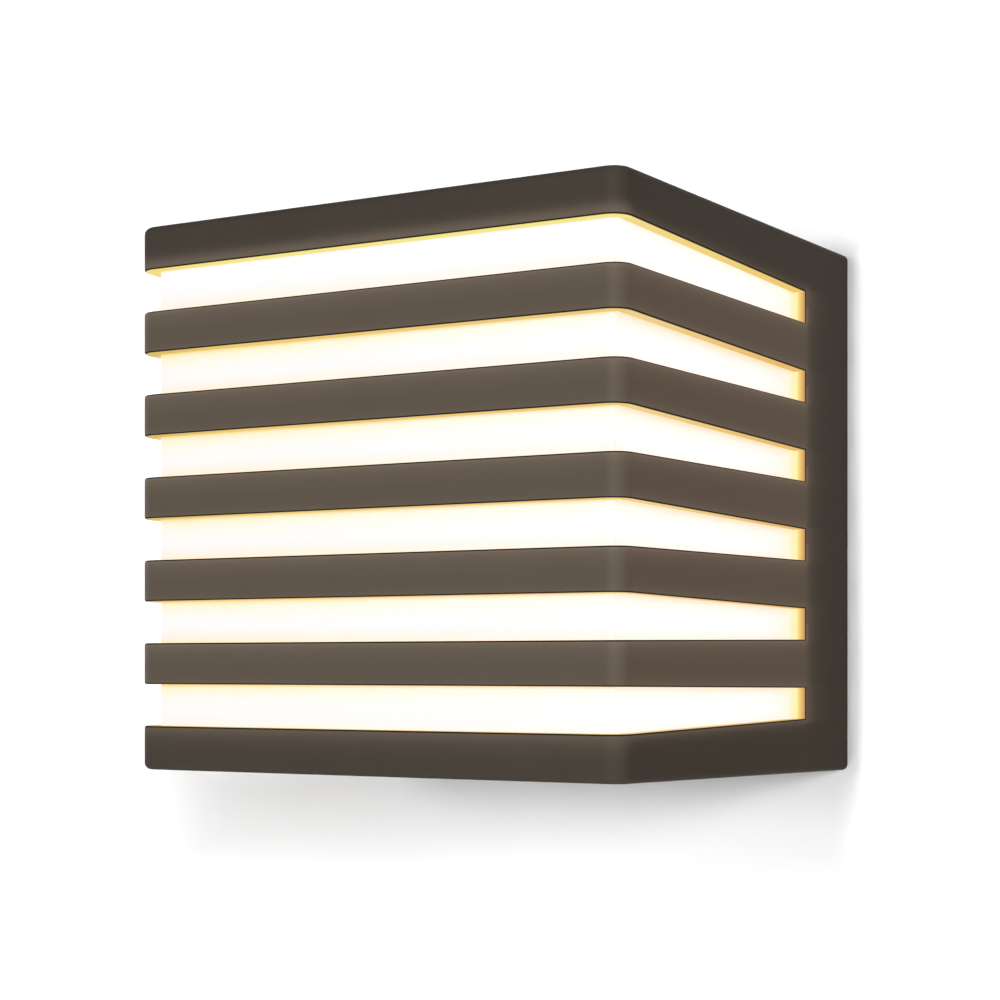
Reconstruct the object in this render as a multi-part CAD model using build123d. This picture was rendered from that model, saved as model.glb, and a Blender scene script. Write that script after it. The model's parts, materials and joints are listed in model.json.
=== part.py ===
from build123d import *
import math
import os

# Outdoor wall light. A near-cube cast cover has slots that wrap its front and both sides, an opal
# diffuser sits right behind the slots, and a tray on the wall carries a screw-in lamp.
# Sizes are in millimetres and angles in degrees. X points right, Y points into the wall and Z points up.
# The origin is on the wall plane, behind the middle of the light.

# Cover
cover_width = 160.0
cover_height = 160.0
cover_depth = 157.0
cover_draft = 1.12
cover_wall = 4.0
cover_corner_radius = 6.0
least_corner_radius = 0.6
cover_edge_fillet = 2.0
wall_shadow_gap = 1.0

# Slots in the cover
slot_count = 6
slot_height = 12.3
slot_pitch = 24.4
slot_length = 122.0
slot_taper = 0.66
slot_lip_fillet = 0.7

# Corner bosses in the cover that hold the diffuser
boss_size = 10.0
boss_length = 20.0
boss_gap = 0.8

# Diffuser
diffuser_gap = 0.8
diffuser_wall = 2.0
diffuser_flange = 2.5
diffuser_flange_step = 1.5

# Screws that hold the diffuser
diffuser_screw_radius = 1.5
diffuser_screw_length = 10.0
diffuser_screw_head_radius = 2.75
diffuser_screw_head_height = 2.0

# Tray on the wall, its gasket and the seal on its rim
gasket_thickness = 2.0
gasket_margin = 3.0
plate_thickness = 3.0
plate_gap = 1.4
plate_corner_radius = 3.0
rim_height = 15.0
rim_wall = 3.0
rim_corner_radius = 6.0
seal_thickness = 3.0
seal_width = 5.0

# Holes for the wall screws
wall_hole_spacing = 90.0
wall_hole_radius = 2.75
wall_boss_radius = 6.5
wall_boss_height = 2.0
gasket_hole_gap = 1.5

# Screws that hold the cover, with their washers, lugs, pads and pockets
cover_screw_spacing = 100.0
cover_screw_setback = 11.0
cover_screw_radius = 2.0
cover_screw_length = 12.0
cover_screw_head_radius = 3.8
cover_screw_head_height = 2.2
cover_screw_socket = 2.5
cover_screw_socket_depth = 1.3
screw_washer_radius = 4.5
screw_washer_thickness = 0.8
lug_margin = 5.0
lug_front_margin = 7.0
pad_margin = 2.5
pad_web = 2.6
pad_gap = 0.2
pocket_gap = 0.6
notch_gap = 0.3

# Clearances of screws in their threads and holes, and of round pieces in their seats
thread_gap = 0.05
screw_hole_gap = 0.2
seat_gap = 0.05
hole_end_gap = 0.4

# Cable entry
grommet_bore_radius = 4.5
grommet_wall = 3.5
grommet_lip = 2.5
grommet_lip_thickness = 1.5
grommet_side_inset = 25.0
grommet_clearance = 1.5

# Row of electrics along the bottom of the tray
row_inset = 20.0

# Terminal block
pole_count = 3
pole_pitch = 10.0
terminal_tower_width = 9.0
terminal_height = 18.0
terminal_depth = 11.0
terminal_base_depth = 4.0
terminal_ear_length = 8.0
terminal_pad_height = 1.0
terminal_insert_radius = 3.0
terminal_insert_wall = 1.0
terminal_insert_recess = 1.0
terminal_screw_radius = 1.4
terminal_screw_length = 3.4
terminal_screw_offset = 4.5
block_screw_radius = 1.5
block_screw_length = 6.5
block_screw_head_radius = 2.75
block_screw_head_height = 2.0

# Leads and earth bond
lead_radius = 1.3
lead_bend_radius = 7.8
lead_entry = 2.0
earth_side_inset = 23.0
earth_boss_radius = 5.0
earth_screw_radius = 2.0
earth_screw_length = 7.0
earth_screw_head_radius = 3.6
earth_screw_head_height = 2.4
earth_washer_radius = 4.2
earth_washer_thickness = 0.8
earth_tag_thickness = 0.8
earth_tag_ring = 2.2
earth_barrel_length = 6.0
earth_barrel_wall = 0.7
earth_tag_reach = 12.0
earth_lead_rise = 10.0

# Bridge bracket under the lampholder
bracket_sheet = 1.5
bracket_height = 16.0
bracket_half_length = 24.0
bracket_width = 30.0
bracket_foot_length = 10.0
bracket_boss_radius = 4.5
bracket_boss_height = 3.0
bracket_screw_radius = 1.5
bracket_screw_length = 6.0
bracket_screw_head_radius = 2.75
bracket_screw_head_height = 2.0

# Lampholder
holder_length = 35.0
holder_radius = 20.0
holder_base_radius = 17.0
holder_base_length = 13.0
holder_floor = 8.0
holder_edge_fillet = 1.2
holder_shell_wall = 0.5
holder_shell_length = 25.0
holder_screw_spacing = 20.0
holder_screw_rise = 8.0
holder_screw_radius = 1.75
holder_screw_length = 7.0
holder_screw_head_radius = 3.2
holder_screw_head_height = 2.0
holder_lead_drop = 8.0
holder_lead_depth = 5.0
contact_rise = 3.0
contact_sheet = 0.6
contact_width = 6.0
contact_reach = 4.0
contact_foot = 9.0

# Lamp
lamp_end_space = 22.0
cap_radius = 13.2
cap_thread_depth = 0.9
cap_thread_pitch = 3.628
cap_thread_turns = 4
cap_collar = 5.8
cap_bore_radius = 11.3
cap_insulator_height = 4.0
foot_contact_radius = 4.6
foot_contact_height = 1.2
lamp_thread_gap = 0.08
lamp_housing_length = 22.0
lamp_housing_back_radius = 13.6
lamp_housing_front_radius = 21.0
lamp_housing_wall = 1.6
lamp_housing_ledge = 1.5
globe_radius = 27.5
globe_wall = 1.0
globe_lip = 0.6
globe_widest_share = 0.5
led_board_thickness = 1.6
led_chip_count = 8
led_chip_size = 2.8
led_chip_height = 0.8
led_circle_radius = 12.0
driver_width = 14.0
driver_thickness = 1.6
driver_length = 26.0
capacitor_radius = 3.6
capacitor_length = 12.0
capacitor_setback = 6.0

# How far a cutting block runs past the piece that it cuts
overrun = 2.0

# Depths along Y of the main faces, from the wall to the front
front_y = -(wall_shadow_gap + cover_depth)
back_y = -wall_shadow_gap
plate_back_y = -gasket_thickness
floor_y = plate_back_y - plate_thickness
rim_y = floor_y - rim_height
flange_back_y = rim_y - seal_thickness
flange_front_y = flange_back_y - diffuser_flange
boss_front_y = flange_front_y - boss_length
slot_end_y = front_y + slot_length
cover_screw_y = back_y - cover_screw_setback
diffuser_front_y = front_y + cover_wall + diffuser_gap
lead_y = floor_y - terminal_pad_height - terminal_depth / 2
bracket_front_y = floor_y - bracket_height
holder_front_y = bracket_front_y - holder_length
holder_floor_y = bracket_front_y - holder_floor
lamp_foot_y = holder_floor_y - contact_rise - contact_sheet
lamp_tip_y = diffuser_front_y + diffuser_wall + lamp_end_space

# The leaning walls
diffuser_inset = cover_wall + diffuser_gap
lean = math.tan(math.radians(cover_draft))


def half_width(y, inset=0.0):
    """Half the width between the leaning side walls at depth y, inside by inset."""
    return cover_width / 2 + (y - front_y) * lean - inset


def half_height(y, inset=0.0):
    """Half the height between the leaning top and bottom walls at depth y, inside by inset."""
    return cover_height / 2 + (y - front_y) * lean - inset


# Edges of the corner bosses and of what is fitted inside them
boss_edge_x = half_width(flange_front_y, cover_wall) - boss_size
boss_edge_z = half_height(flange_front_y, cover_wall) - boss_size
flange_open_x = boss_edge_x - boss_gap - diffuser_wall - diffuser_flange_step
flange_open_z = boss_edge_z - boss_gap - diffuser_wall - diffuser_flange_step
diffuser_screw_x = boss_edge_x + boss_size / 2
diffuser_screw_z = boss_edge_z + boss_size / 2

# The rim stands under the middle of the seal
rim_outer_x = flange_open_x + seal_width / 2 + rim_wall / 2
rim_outer_z = flange_open_z + seal_width / 2 + rim_wall / 2
rim_inner_x = rim_outer_x - rim_wall
rim_inner_z = rim_outer_z - rim_wall
plate_half_x = half_width(floor_y, cover_wall + plate_gap)
plate_half_z = half_height(floor_y, cover_wall + plate_gap)

# Where the cover is clamped: the pad is flat and level, so that the cover slides off under the screws
pad_top_z = -half_height(flange_back_y, diffuser_inset) - pad_gap
pocket_floor_z = pad_top_z - pad_web
pocket_half = screw_washer_radius + pocket_gap
pad_half = pocket_half + pad_margin
screw_seat_z = pocket_floor_z - screw_washer_thickness
cover_screw_xs = (-cover_screw_spacing / 2, cover_screw_spacing / 2)

# Places on the tray's floor
row_z = -(rim_inner_z - row_inset)
grommet_x = -(rim_inner_x - grommet_side_inset)
grommet_radius = grommet_bore_radius + grommet_wall
earth_x = rim_inner_x - earth_side_inset
lead_start_z = row_z + terminal_height / 2 - lead_entry
earth_z = lead_start_z + earth_lead_rise
pole_xs = [(i - (pole_count - 1) / 2) * pole_pitch for i in range(pole_count)]
live_x = pole_xs[0]
neutral_x = pole_xs[1]
earth_pole_x = pole_xs[2]
block_half_length = pole_count * pole_pitch / 2 + terminal_ear_length
bracket_screw_x = bracket_half_length + bracket_foot_length / 2


def facing_room(y):
    """Plane at depth y that faces the room, with its own x along X and its own y along Z."""
    return Plane(origin=(0, y, 0), x_dir=(1, 0, 0), z_dir=(0, -1, 0))


def slab(half_x, half_z, y_back, thickness, radius):
    """Upright plate with round corners, from y_back towards the room."""
    outline = RectangleRounded(2 * half_x, 2 * half_z, radius)
    return extrude(facing_room(y_back) * outline, thickness)


def block(x_from, x_to, y_from, y_to, z_from, z_to):
    """Plain block between two corners."""
    middle = ((x_from + x_to) / 2, (y_from + y_to) / 2, (z_from + z_to) / 2)
    return Pos(*middle) * Box(x_to - x_from, abs(y_to - y_from), z_to - z_from)


def post(x, z, radius, y_back, length):
    """Round post along Y, from y_back towards the room."""
    return extrude(facing_room(y_back) * Pos(x, z) * Circle(radius), length)


def turned(points):
    """Piece turned about the Y axis from an outline of (radius, y) points."""
    return revolve(make_face(Polyline(*points, close=True)), Axis.Y)


def screw(radius, length, head_radius, head_height, recess):
    """Screw along Z: its head hangs below z = 0 and its shank rises from there."""
    head = Pos(0, 0, -head_height / 2) * Cylinder(head_radius, head_height)
    rim = head.edges().filter_by(GeomType.CIRCLE).sort_by(Axis.Z)[0]
    head = fillet(rim, head_height / 3)
    shank = Pos(0, 0, length / 2) * Cylinder(radius, length)
    tip = shank.edges().filter_by(GeomType.CIRCLE).sort_by(Axis.Z)[-1]
    shank = chamfer(tip, radius / 4)
    return head + shank - Pos(0, 0, -head_height) * recess


def cross_recess(head_radius, head_height):
    """Cross-shaped driver recess, centred on the face of a head."""
    blade = head_radius / 3
    bar = Box(head_radius * 1.2, blade, head_height)
    return bar + Rot(0, 0, 90) * bar


def hexagon_recess(across_flats, depth):
    """Six-sided driver recess, centred on the face of a head."""
    return extrude(RegularPolygon(across_flats / 2, 6, major_radius=False), depth, both=True)


def cross_screw(radius, length, head_radius, head_height):
    """Pan-head screw with a cross recess."""
    return screw(radius, length, head_radius, head_height, cross_recess(head_radius, head_height))


def drive(piece, point, direction):
    """Place a screw with its head's underside at point and its shank along direction."""
    return Plane(origin=point, z_dir=direction) * piece


INTO_WALL = (0, 1, 0)
OUT_OF_WALL = (0, -1, 0)
UPWARDS = (0, 0, 1)


def leaning_block(inset, y_front, y_back):
    """Solid between the leaning walls, inside by inset, with round upright front corners."""
    plan = Polygon(
        (-half_width(y_front, inset), y_front),
        (half_width(y_front, inset), y_front),
        (half_width(y_back, inset), y_back),
        (-half_width(y_back, inset), y_back),
        align=None,
    )
    front_corners = plan.vertices().group_by(Axis.Y)[0]
    plan = fillet(front_corners, max(cover_corner_radius - inset, least_corner_radius))
    side = Plane.YZ * Polygon(
        (y_front, -half_height(y_front, inset)),
        (y_back, -half_height(y_back, inset)),
        (y_back, half_height(y_back, inset)),
        (y_front, half_height(y_front, inset)),
        align=None,
    )
    return extrude(plan, cover_height, both=True) & extrude(side, cover_width, both=True)


def slot_cutter(z):
    """Wedge through the front and both sides: a slot gets narrower towards the wall."""
    mouth_y = front_y - overrun
    taper = math.tan(math.radians(slot_taper))
    mouth = slot_height / 2 + overrun * taper
    end = slot_height / 2 - slot_length * taper
    side = Plane.YZ * Polygon(
        (mouth_y, z - mouth),
        (slot_end_y, z - end),
        (slot_end_y, z + end),
        (mouth_y, z + mouth),
        align=None,
    )
    return extrude(side, cover_width, both=True)


def corners():
    """The signs of X and Z in the four corners."""
    return [(sx, sz) for sx in (-1, 1) for sz in (-1, 1)]


def corner_block(edge_x, edge_z, y_from, y_to, sx, sz):
    """Block that fills one corner outwards from its inner edges."""
    reach_x = half_width(back_y) - cover_wall / 2
    reach_z = half_height(back_y) - cover_wall / 2
    x_range = sorted((sx * edge_x, sx * reach_x))
    z_range = sorted((sz * edge_z, sz * reach_z))
    return block(*x_range, y_from, y_to, *z_range)


def slatted_cover():
    """Cast cover: a drafted box, open at the back, with slots, corner bosses and clamping pads."""
    shell = leaning_block(0, front_y, back_y)
    for end in (-1, 0):
        face = shell.faces().sort_by(Axis.Z)[end]
        shell = fillet(face.edges().sort_by(Axis.Y)[:-1], cover_edge_fillet)
    slots = [slot_cutter((i - (slot_count - 1) / 2) * slot_pitch) for i in range(slot_count)]
    slotted = shell - slots
    lips = new_edges(shell, *slots, combined=slotted)
    slotted = fillet(lips, slot_lip_fillet)
    outside = leaning_block(0, front_y, back_y)
    cover = slotted - leaning_block(cover_wall, front_y + cover_wall, back_y + overrun)
    hole_depth = diffuser_screw_length - diffuser_flange + hole_end_gap
    for sx, sz in corners():
        boss = corner_block(boss_edge_x, boss_edge_z, boss_front_y, flange_front_y, sx, sz)
        hole = post(
            sx * diffuser_screw_x,
            sz * diffuser_screw_z,
            diffuser_screw_radius + thread_gap,
            flange_front_y + overrun,
            hole_depth + overrun,
        )
        cover = cover + (boss & outside) - hole
    for x in cover_screw_xs:
        pad = block(x - pad_half, x + pad_half, flange_back_y, back_y, -half_height(back_y), pad_top_z)
        cover = cover + (pad & outside)
        pocket = screw_channel(x, pocket_half, pocket_floor_z)
        notch = screw_channel(x, cover_screw_radius + notch_gap, pad_top_z + overrun)
        cover = cover - pocket - notch
    return cover


def screw_channel(x, half, z_top):
    """Channel around a cover screw that is open to the cover's back and bottom edges."""
    z_bottom = -half_height(back_y) - overrun
    height = z_top - z_bottom
    end = Pos(x, cover_screw_y, z_bottom + height / 2) * Cylinder(half, height)
    return end + block(x - half, x + half, cover_screw_y, back_y + overrun, z_bottom, z_top)


def opal_diffuser():
    """Moulded opal box, open at the back, with notched corners and a flange under the corner bosses."""
    outer = leaning_block(diffuser_inset, diffuser_front_y, flange_back_y)
    inner = leaning_block(diffuser_inset + diffuser_wall, diffuser_front_y + diffuser_wall, flange_front_y)
    notch_front_y = boss_front_y - boss_gap
    for sx, sz in corners():
        notch = (boss_edge_x - boss_gap, boss_edge_z - boss_gap)
        lining = (notch[0] - diffuser_wall, notch[1] - diffuser_wall)
        outer = outer - corner_block(*notch, notch_front_y, flange_front_y, sx, sz)
        inner = inner - corner_block(*lining, notch_front_y - diffuser_wall, flange_front_y, sx, sz)
    opening = block(
        -flange_open_x,
        flange_open_x,
        flange_front_y - overrun,
        flange_back_y + overrun,
        -flange_open_z,
        flange_open_z,
    )
    diffuser = outer - inner - opening
    for sx, sz in corners():
        hole_radius = diffuser_screw_radius + screw_hole_gap
        hole_y = flange_back_y + overrun
        length = diffuser_flange + 2 * overrun
        diffuser = diffuser - post(sx * diffuser_screw_x, sz * diffuser_screw_z, hole_radius, hole_y, length)
    return diffuser


def diffuser_screws():
    """Four screws through the diffuser's flange into the cover's corner bosses."""
    piece = cross_screw(
        diffuser_screw_radius,
        diffuser_screw_length,
        diffuser_screw_head_radius,
        diffuser_screw_head_height,
    )
    return [
        drive(piece, (sx * diffuser_screw_x, flange_back_y, sz * diffuser_screw_z), OUT_OF_WALL)
        for sx, sz in corners()
    ]


def frame(half_x, half_z, width, y_back, thickness, radius):
    """Rectangular ring of the given band width, from y_back towards the room."""
    ring = slab(half_x, half_z, y_back, thickness, radius)
    inner_radius = max(radius - width, radius / 4)
    opening = slab(half_x - width, half_z - width, y_back + overrun, thickness + 2 * overrun, inner_radius)
    return ring - opening


def wall_hole_places():
    """X of the two wall screws."""
    return (-wall_hole_spacing / 2, wall_hole_spacing / 2)


def wall_gasket():
    """Foam pad between the tray and the wall, with holes for the screws and the cable."""
    half_x = plate_half_x - gasket_margin
    half_z = plate_half_z - gasket_margin
    pad = slab(half_x, half_z, 0, gasket_thickness, plate_corner_radius)
    cut_length = gasket_thickness + 2 * overrun
    for x in wall_hole_places():
        pad = pad - post(x, 0, wall_hole_radius + gasket_hole_gap, overrun, cut_length)
    cable_hole = grommet_radius + grommet_lip + grommet_clearance
    return pad - post(grommet_x, row_z, cable_hole, overrun, cut_length)


def back_plate():
    """Cast tray: a plate with a rim, lugs for the cover screws and bosses for the electrics."""
    plate = slab(plate_half_x, plate_half_z, plate_back_y, plate_thickness, plate_corner_radius)
    plate = plate + frame(rim_outer_x, rim_outer_z, rim_wall, floor_y, rim_height, rim_corner_radius)
    lug_half = cover_screw_radius + lug_margin
    lug_front_y = cover_screw_y - lug_front_margin
    for x in cover_screw_xs:
        lug_top_z = -rim_outer_z + rim_wall / 2
        plate = plate + block(x - lug_half, x + lug_half, lug_front_y, floor_y, pad_top_z, lug_top_z)
        depth = cover_screw_length - (pad_top_z - screw_seat_z) + hole_end_gap
        thread = Cylinder(cover_screw_radius + thread_gap, 2 * depth)
        plate = plate - Pos(x, cover_screw_y, pad_top_z) * thread
    through = plate_thickness + wall_boss_height + 2 * overrun
    for x in wall_hole_places():
        plate = plate + post(x, 0, wall_boss_radius, floor_y, wall_boss_height)
        plate = plate - post(x, 0, wall_hole_radius, plate_back_y + overrun, through)
    plate = plate - post(grommet_x, row_z, grommet_radius + seat_gap, plate_back_y + overrun, through)
    for x in (-bracket_screw_x, bracket_screw_x):
        plate = plate + post(x, 0, bracket_boss_radius, floor_y, bracket_boss_height)
        depth = bracket_screw_length - bracket_sheet
        plate = plate - thread_hole(x, 0, bracket_screw_radius, floor_y - bracket_boss_height, depth)
    pad_half_z = terminal_height / 2
    pad_y = floor_y - terminal_pad_height
    plate = plate + block(
        -block_half_length, block_half_length, pad_y, floor_y, row_z - pad_half_z, row_z + pad_half_z
    )
    for x in block_screw_places():
        depth = block_screw_length - terminal_base_depth
        plate = plate - thread_hole(x, row_z, block_screw_radius, pad_y, depth)
    boss_y = lead_y + earth_tag_thickness / 2
    plate = plate + post(earth_x, earth_z, earth_boss_radius, floor_y, floor_y - boss_y)
    depth = earth_screw_length - earth_tag_thickness - earth_washer_thickness
    return plate - thread_hole(earth_x, earth_z, earth_screw_radius, boss_y, depth)


def thread_hole(x, z, radius, y_mouth, depth):
    """Blind hole for a screw that goes towards the wall."""
    length = depth + hole_end_gap
    return post(x, z, radius + thread_gap, y_mouth + length, length + overrun)


def rim_seal():
    """Rubber ring on the tray's rim that the diffuser's flange presses on."""
    half_x = flange_open_x + seal_width
    half_z = flange_open_z + seal_width
    return frame(half_x, half_z, seal_width, rim_y, seal_thickness, rim_corner_radius)


def cable_grommet():
    """Rubber grommet with a lip on each side of the plate."""
    lip_radius = grommet_radius + grommet_lip
    outer_y = plate_back_y + grommet_lip_thickness
    length = plate_thickness + 2 * grommet_lip_thickness
    body = post(grommet_x, row_z, lip_radius, outer_y, length)
    groove = post(grommet_x, row_z, lip_radius + overrun, plate_back_y, plate_thickness)
    core = post(grommet_x, row_z, grommet_radius, plate_back_y, plate_thickness)
    bore = post(grommet_x, row_z, grommet_bore_radius, outer_y + overrun, length + 2 * overrun)
    return body - (groove - core) - bore


def block_screw_places():
    """X of the two screws in the terminal block's ears."""
    ear = block_half_length - terminal_ear_length / 2
    return (-ear, ear)


def terminal_screw_places():
    """X and Z of the terminal screws, two to a pole."""
    return [(x, row_z + dz) for x in pole_xs for dz in (-terminal_screw_offset, terminal_screw_offset)]


def terminal_block():
    """Moulded connector: a base with ears and one tower for each pole."""
    back = floor_y - terminal_pad_height
    half_z = terminal_height / 2
    body = block(
        -block_half_length,
        block_half_length,
        back - terminal_base_depth,
        back,
        row_z - half_z,
        row_z + half_z,
    )
    for x in pole_xs:
        half = terminal_tower_width / 2
        body = body + block(x - half, x + half, back - terminal_depth, back, row_z - half_z, row_z + half_z)
    for x in pole_xs:
        bore = Cylinder(terminal_insert_radius + seat_gap, terminal_height + 2 * overrun)
        body = body - Pos(x, lead_y, row_z) * bore
    for x, z in terminal_screw_places():
        body = body - post(x, z, terminal_screw_radius + screw_hole_gap, lead_y, terminal_depth)
    for x in block_screw_places():
        body = body - post(x, row_z, block_screw_radius + screw_hole_gap, back + overrun, terminal_depth)
    return body


def terminal_inserts():
    """Brass tubes in the connector, one for each pole, with threaded holes for the terminal screws."""
    length = terminal_height - 2 * terminal_insert_recess
    bore_radius = terminal_insert_radius - terminal_insert_wall
    tube = Cylinder(terminal_insert_radius, length) - Cylinder(bore_radius, length + overrun)
    inserts = []
    for x in pole_xs:
        insert = Pos(x, lead_y, row_z) * tube
        for dz in (-terminal_screw_offset, terminal_screw_offset):
            hole = post(x, row_z + dz, terminal_screw_radius + thread_gap, lead_y, terminal_depth)
            insert = insert - hole
        inserts.append(insert)
    return inserts


def terminal_screws():
    """Slotted grub screws, two to a pole, that clamp the wires."""
    grub = Cylinder(terminal_screw_radius, terminal_screw_length)
    slot = Box(2 * terminal_screw_radius, terminal_screw_radius / 2, terminal_screw_radius)
    grub = grub - Pos(0, 0, -terminal_screw_length / 2) * slot
    tip_y = lead_y - terminal_insert_radius + terminal_insert_wall
    middle_y = tip_y - terminal_screw_length / 2
    return [drive(grub, (x, middle_y, z), INTO_WALL) for x, z in terminal_screw_places()]


def terminal_block_screws():
    """Two screws through the connector's ears into the tray."""
    piece = cross_screw(
        block_screw_radius, block_screw_length, block_screw_head_radius, block_screw_head_height
    )
    seat_y = floor_y - terminal_pad_height - terminal_base_depth
    return [drive(piece, (x, seat_y, row_z), INTO_WALL) for x in block_screw_places()]


def lead(points):
    """Insulated wire along straight runs with round bends."""
    path = FilletPolyline(*points, radius=lead_bend_radius)
    start = Plane(origin=path @ 0, z_dir=path % 0)
    return sweep(start * Circle(lead_radius), path)


def lamp_lead(x):
    """Lead that rises from its pole and bends into the back of the lampholder."""
    end_y = bracket_front_y - holder_lead_depth + hole_end_gap
    start = (x, lead_y, lead_start_z)
    corner = (x, lead_y, -holder_lead_drop)
    return lead([start, corner, (x, end_y, -holder_lead_drop)])


def earth_barrel_x():
    """X where the earth tag's barrel starts."""
    return earth_x - earth_tag_reach


def earth_lead():
    """Lead that rises from its pole and bends sideways into the earth tag."""
    end_x = earth_barrel_x() + earth_barrel_length - earth_barrel_wall - hole_end_gap
    start = (earth_pole_x, lead_y, lead_start_z)
    corner = (earth_pole_x, lead_y, earth_z)
    return lead([start, corner, (end_x, lead_y, earth_z)])


def earth_tag():
    """Ring tag: a crimped barrel on the lead, and a flat ring under the earth screw."""
    hole = earth_screw_radius + screw_hole_gap
    back = lead_y + earth_tag_thickness / 2
    ring = post(earth_x, earth_z, hole + earth_tag_ring, back, earth_tag_thickness)
    barrel_end = earth_barrel_x() + earth_barrel_length
    outer = lead_radius + seat_gap + earth_barrel_wall
    tongue = block(
        barrel_end - earth_barrel_wall,
        earth_x,
        lead_y - earth_tag_thickness / 2,
        back,
        earth_z - outer,
        earth_z + outer,
    )
    barrel_place = Plane(origin=(earth_barrel_x(), lead_y, earth_z), z_dir=(1, 0, 0))
    barrel = barrel_place * extrude(Circle(outer), earth_barrel_length)
    bore = barrel_place * extrude(Circle(lead_radius + seat_gap), earth_barrel_length - earth_barrel_wall)
    tag = ring + tongue + barrel - bore
    return tag - post(earth_x, earth_z, hole, back + overrun, 2 * overrun + earth_tag_thickness)


def earth_washer():
    """Lock washer between the earth tag and the screw's head."""
    back = lead_y - earth_tag_thickness / 2
    disc = post(earth_x, earth_z, earth_washer_radius, back, earth_washer_thickness)
    hole = earth_screw_radius + screw_hole_gap
    return disc - post(earth_x, earth_z, hole, back + overrun, 2 * overrun + earth_washer_thickness)


def earth_screw():
    """Screw that bonds the earth tag to the tray."""
    piece = cross_screw(
        earth_screw_radius, earth_screw_length, earth_screw_head_radius, earth_screw_head_height
    )
    seat_y = lead_y - earth_tag_thickness / 2 - earth_washer_thickness
    return drive(piece, (earth_x, seat_y, earth_z), INTO_WALL)


def lampholder_bracket():
    """Bent sheet bridge with two feet on the tray's bosses and holes for the leads."""
    half_z = bracket_width / 2
    foot_back_y = floor_y - bracket_boss_height
    end = bracket_half_length
    foot_end = end + bracket_foot_length
    start_y = bracket_front_y + bracket_sheet + overrun
    through = bracket_sheet + 2 * overrun
    bracket = block(-end, end, bracket_front_y, bracket_front_y + bracket_sheet, -half_z, half_z)
    for side in (-1, 1):
        leg = sorted((side * end, side * (end - bracket_sheet)))
        foot = sorted((side * (end - bracket_sheet), side * foot_end))
        bracket = bracket + block(*leg, bracket_front_y, foot_back_y, -half_z, half_z)
        bracket = bracket + block(*foot, foot_back_y - bracket_sheet, foot_back_y, -half_z, half_z)
        foot_hole = bracket_screw_radius + screw_hole_gap
        foot_start_y = foot_back_y + overrun
        bracket = bracket - post(side * bracket_screw_x, 0, foot_hole, foot_start_y, through)
        holder_hole = holder_screw_radius + screw_hole_gap
        x = side * holder_screw_spacing / 2
        bracket = bracket - post(x, holder_screw_rise, holder_hole, start_y, through)
    for x in (live_x, neutral_x):
        lead_hole = lead_radius + screw_hole_gap
        bracket = bracket - post(x, -holder_lead_drop, lead_hole, start_y, through)
    return bracket


def bracket_screws():
    """Two screws through the bridge's feet into the tray's bosses."""
    piece = cross_screw(
        bracket_screw_radius, bracket_screw_length, bracket_screw_head_radius, bracket_screw_head_height
    )
    seat_y = floor_y - bracket_boss_height - bracket_sheet
    return [drive(piece, (x, seat_y, 0), INTO_WALL) for x in (-bracket_screw_x, bracket_screw_x)]


def holder_shell_radius():
    """Outer radius of the lampholder's threaded sleeve."""
    return cap_radius + lamp_thread_gap + holder_shell_wall


def lampholder_body():
    """Porcelain lampholder: a narrow base, a wider skirt and a bore for the threaded sleeve."""
    bore = holder_shell_radius() + seat_gap
    base_y = bracket_front_y - holder_base_length
    shoulder = holder_radius - holder_base_radius
    body = turned([
        (0, bracket_front_y),
        (holder_base_radius, bracket_front_y),
        (holder_base_radius, base_y),
        (holder_radius, base_y - shoulder),
        (holder_radius, holder_front_y),
        (bore, holder_front_y),
        (bore, holder_floor_y),
        (0, holder_floor_y),
    ])
    mouth = body.edges().filter_by(GeomType.CIRCLE).group_by(Axis.Y)[0].sort_by(SortBy.RADIUS)[-1]
    body = fillet(mouth, holder_edge_fillet)
    for x in (live_x, neutral_x):
        hole = lead_radius + screw_hole_gap
        body = body - post(x, -holder_lead_drop, hole, bracket_front_y + overrun, holder_lead_depth + overrun)
    for x in (-holder_screw_spacing / 2, holder_screw_spacing / 2):
        depth = holder_screw_length - bracket_sheet + hole_end_gap
        hole = holder_screw_radius + thread_gap
        body = body - post(x, holder_screw_rise, hole, bracket_front_y + overrun, depth + overrun)
    return body


def lampholder_shell():
    """Sleeve that carries the lamp's thread."""
    outer = holder_shell_radius()
    sleeve = post(0, 0, outer, holder_floor_y, holder_shell_length)
    bore = post(0, 0, outer - holder_shell_wall, holder_floor_y + overrun, holder_shell_length + 2 * overrun)
    return sleeve - bore


def lampholder_contact():
    """Bent spring strip that presses on the lamp's foot."""
    bend = contact_rise
    strip = Polygon(
        (-contact_foot, holder_floor_y),
        (-contact_foot + bend, holder_floor_y),
        (-contact_foot + 2 * bend, holder_floor_y - contact_rise),
        (contact_reach, holder_floor_y - contact_rise),
        (contact_reach, lamp_foot_y),
        (-contact_foot + 2 * bend - contact_sheet / 2, lamp_foot_y),
        (-contact_foot + bend - contact_sheet / 2, holder_floor_y - contact_sheet),
        (-contact_foot, holder_floor_y - contact_sheet),
        align=None,
    )
    return extrude(strip, contact_width / 2, both=True)


def lampholder_screws():
    """Two screws from behind the bridge into the porcelain."""
    piece = cross_screw(
        holder_screw_radius, holder_screw_length, holder_screw_head_radius, holder_screw_head_height
    )
    seat_y = bracket_front_y + bracket_sheet
    return [
        drive(piece, (side * holder_screw_spacing / 2, seat_y, holder_screw_rise), OUT_OF_WALL)
        for side in (-1, 1)
    ]


def cover_screw(x):
    """Button-head screw from below into the tray's lug."""
    recess = hexagon_recess(cover_screw_socket, cover_screw_socket_depth)
    piece = screw(
        cover_screw_radius, cover_screw_length, cover_screw_head_radius, cover_screw_head_height, recess
    )
    return drive(piece, (x, cover_screw_y, screw_seat_z), UPWARDS)


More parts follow.
